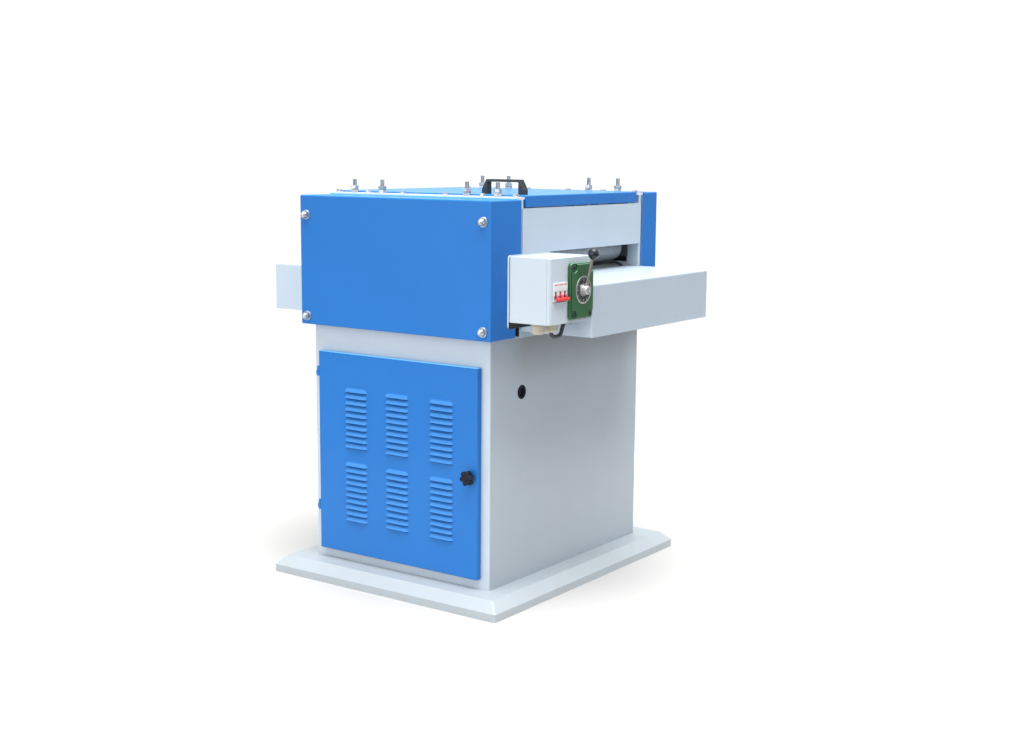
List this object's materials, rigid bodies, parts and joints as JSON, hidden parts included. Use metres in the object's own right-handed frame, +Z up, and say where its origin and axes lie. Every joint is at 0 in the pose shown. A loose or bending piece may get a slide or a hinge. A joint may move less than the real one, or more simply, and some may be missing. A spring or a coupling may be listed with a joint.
{
  "type": "multi-blade rip saw",
  "caption": "Floor-standing multi-blade rip saw: louvred cabinet on a plinth, roller-fed saw head under a hinged lid, folded infeed and outfeed tables, side control box.",
  "frame": {"origin": "centre of the plinth's rest face, on the floor", "axes": "+X against the feed, towards the infeed table and the control box; -Y towards the cabinet door; +Z up"},
  "size_m": [1.0325, 0.825, 1.002],
  "materials": {
    "blue_paint": "satin powder coat",
    "grey_paint": "satin light bluish-grey powder coat",
    "white_paint": "satin off-white paint",
    "zinc": "bright zinc plate",
    "steel": "machined steel",
    "blade_steel": "ground saw steel",
    "galvanised": "galvanised, finely knurled",
    "cast_iron": "painted casting",
    "motor_alloy": "painted ribbed alloy casting",
    "chrome": "polished chrome",
    "green_cast": "hammered green paint on a casting",
    "dial_plate": "etched dial plate, black ground",
    "black_plastic": "black moulded plastic",
    "ball_plastic": "polished black plastic",
    "breaker_plastic": "white moulded plastic",
    "red_plastic": "red moulded plastic",
    "gland_plastic": "beige nylon",
    "black_rubber": "black rubber",
    "spring_steel": "oiled spring wire"
  },
  "bodies": {
    "frame": {"base_plinth": "grey_paint", "foot_plate": "steel", "cabinet_shell": "grey_paint", "head_deck": "grey_paint", "side_plate_near": "grey_paint", "side_plate_far": "grey_paint", "front_panel": "grey_paint", "rear_panel": "grey_paint", "cap_rails": "white_paint", "rail_bolts": "zinc", "side_cover_near": "blue_paint", "side_cover_far": "blue_paint", "cover_fasteners": "zinc", "infeed_table": "grey_paint", "outfeed_table": "grey_paint", "table_ties": "steel", "bed_plate": "steel", "control_box": "white_paint", "box_back_plate": "white_paint", "breaker_body": "breaker_plastic", "switch_body": "green_cast", "switch_dial": "dial_plate", "cable_fittings": "gland_plastic", "control_cable": "black_rubber", "motor_housing": "motor_alloy", "drive_belts": "black_rubber", "gearmotor": "motor_alloy", "feed_chains": "steel", "bearing_housings": "cast_iron", "dust_chute": "grey_paint", "door_hinge_leaves": "zinc", "lid_hinge_leaves": "zinc", "pressure_springs": "spring_steel"},
    "door": {"cabinet_door": "blue_paint"},
    "latch": {"door_knob": "black_plastic", "latch_cam": "zinc"},
    "lid": {"top_lid": "blue_paint", "lid_handle": "black_plastic"},
    "arbor": {"saw_arbor": "steel", "saw_blades": "blade_steel", "blade_spacers": "steel", "arbor_pulley": "cast_iron"},
    "motor": {"motor_rotor": "steel", "motor_pulley": "cast_iron"},
    "feed_drive": {"drive_sprocket": "steel"},
    "breaker_lever": {"breaker_toggle": "red_plastic"},
    "switch_handle": {"switch_lever": "chrome", "lever_ball": "ball_plastic"},
    "feed_roller_1": {"lower_roller_1": "galvanised"},
    "pressure_block_1": {"carriage_1": "zinc"},
    "press_roller_1": {"upper_roller_1": "galvanised"},
    "feed_roller_2": {"lower_roller_2": "galvanised"},
    "pressure_block_2": {"carriage_2": "zinc"},
    "press_roller_2": {"upper_roller_2": "galvanised"},
    "feed_roller_3": {"lower_roller_3": "galvanised"},
    "pressure_block_3": {"carriage_3": "zinc"},
    "press_roller_3": {"upper_roller_3": "galvanised"},
    "feed_roller_4": {"lower_roller_4": "galvanised"},
    "pressure_block_4": {"carriage_4": "zinc"},
    "press_roller_4": {"upper_roller_4": "galvanised"}
  },
  "joints": [
    {"name": "door_hinge", "type": "hinge", "parent": "frame", "child": "door", "pos_m": [-0.2532, -0.341, 0.3485], "axis": [0, 0, -1], "range_deg": [0, 110]},
    {"name": "latch_turn", "type": "hinge", "parent": "door", "child": "latch", "pos_m": [0.2306, -0.3485, 0.3145], "axis": [0, -1, 0], "range_deg": [0, 90]},
    {"name": "lid_hinge", "type": "hinge", "parent": "frame", "child": "lid", "pos_m": [0.005, 0.2759, 0.963], "axis": [-1, 0, 0], "range_deg": [0, 95]},
    {"name": "switch_turn", "type": "hinge", "parent": "frame", "child": "switch_handle", "pos_m": [0.508, -0.2963, 0.7665], "axis": [1, 0, 0], "range_deg": [-60, 60]},
    {"name": "breaker_tip", "type": "hinge", "parent": "frame", "child": "breaker_lever", "pos_m": [0.4875, -0.3725, 0.7645], "axis": [0, -1, 0], "range_deg": [0, 62]},
    {"name": "motor_spin", "type": "hinge", "parent": "frame", "child": "motor", "pos_m": [0.005, -0.08, 0.2025], "axis": [0, 1, 0], "continuous": true},
    {"name": "arbor_spin", "type": "hinge", "parent": "frame", "child": "arbor", "pos_m": [0.005, 0.026, 0.72], "axis": [0, 1, 0], "continuous": true},
    {"name": "feed_roller_1_spin", "type": "hinge", "parent": "frame", "child": "feed_roller_1", "pos_m": [-0.216, 0.026, 0.744], "axis": [0, 1, 0], "continuous": true},
    {"name": "feed_roller_2_spin", "type": "hinge", "parent": "frame", "child": "feed_roller_2", "pos_m": [-0.126, 0.026, 0.744], "axis": [0, 1, 0], "continuous": true},
    {"name": "feed_roller_3_spin", "type": "hinge", "parent": "frame", "child": "feed_roller_3", "pos_m": [0.136, 0.026, 0.744], "axis": [0, 1, 0], "continuous": true},
    {"name": "feed_roller_4_spin", "type": "hinge", "parent": "frame", "child": "feed_roller_4", "pos_m": [0.226, 0.026, 0.744], "axis": [0, 1, 0], "continuous": true},
    {"name": "feed_drive_spin", "type": "hinge", "parent": "frame", "child": "feed_drive", "pos_m": [-0.155, 0.26, 0.565], "axis": [0, 1, 0], "continuous": true},
    {"name": "pressure_block_1_lift", "type": "slide", "parent": "frame", "child": "pressure_block_1", "axis": [0, 0, 1], "range_m": [0, 0.015], "stiffness_N_per_m": 8000, "springref_m": -0.02, "deforming": ["pressure_springs"]},
    {"name": "pressure_block_2_lift", "type": "slide", "parent": "frame", "child": "pressure_block_2", "axis": [0, 0, 1], "range_m": [0, 0.015], "stiffness_N_per_m": 8000, "springref_m": -0.02, "deforming": ["pressure_springs"]},
    {"name": "pressure_block_3_lift", "type": "slide", "parent": "frame", "child": "pressure_block_3", "axis": [0, 0, 1], "range_m": [0, 0.015], "stiffness_N_per_m": 8000, "springref_m": -0.02, "deforming": ["pressure_springs"]},
    {"name": "pressure_block_4_lift", "type": "slide", "parent": "frame", "child": "pressure_block_4", "axis": [0, 0, 1], "range_m": [0, 0.015], "stiffness_N_per_m": 8000, "springref_m": -0.02, "deforming": ["pressure_springs"]},
    {"name": "press_roller_1_spin", "type": "hinge", "parent": "pressure_block_1", "child": "press_roller_1", "pos_m": [-0.216, 0.026, 0.822], "axis": [0, 1, 0], "continuous": true},
    {"name": "press_roller_2_spin", "type": "hinge", "parent": "pressure_block_2", "child": "press_roller_2", "pos_m": [-0.126, 0.026, 0.822], "axis": [0, 1, 0], "continuous": true},
    {"name": "press_roller_3_spin", "type": "hinge", "parent": "pressure_block_3", "child": "press_roller_3", "pos_m": [0.136, 0.026, 0.822], "axis": [0, 1, 0], "continuous": true},
    {"name": "press_roller_4_spin", "type": "hinge", "parent": "pressure_block_4", "child": "press_roller_4", "pos_m": [0.226, 0.026, 0.822], "axis": [0, 1, 0], "continuous": true}
  ],
  "couplings": [
    {"joint": "arbor_spin", "follows": "motor_spin", "ratio": 1.5},
    {"joint": "feed_roller_2_spin", "follows": "feed_roller_1_spin", "ratio": 1},
    {"joint": "feed_roller_3_spin", "follows": "feed_roller_1_spin", "ratio": 1},
    {"joint": "feed_roller_4_spin", "follows": "feed_roller_1_spin", "ratio": 1},
    {"joint": "feed_drive_spin", "follows": "feed_roller_1_spin", "ratio": 1}
  ]
}
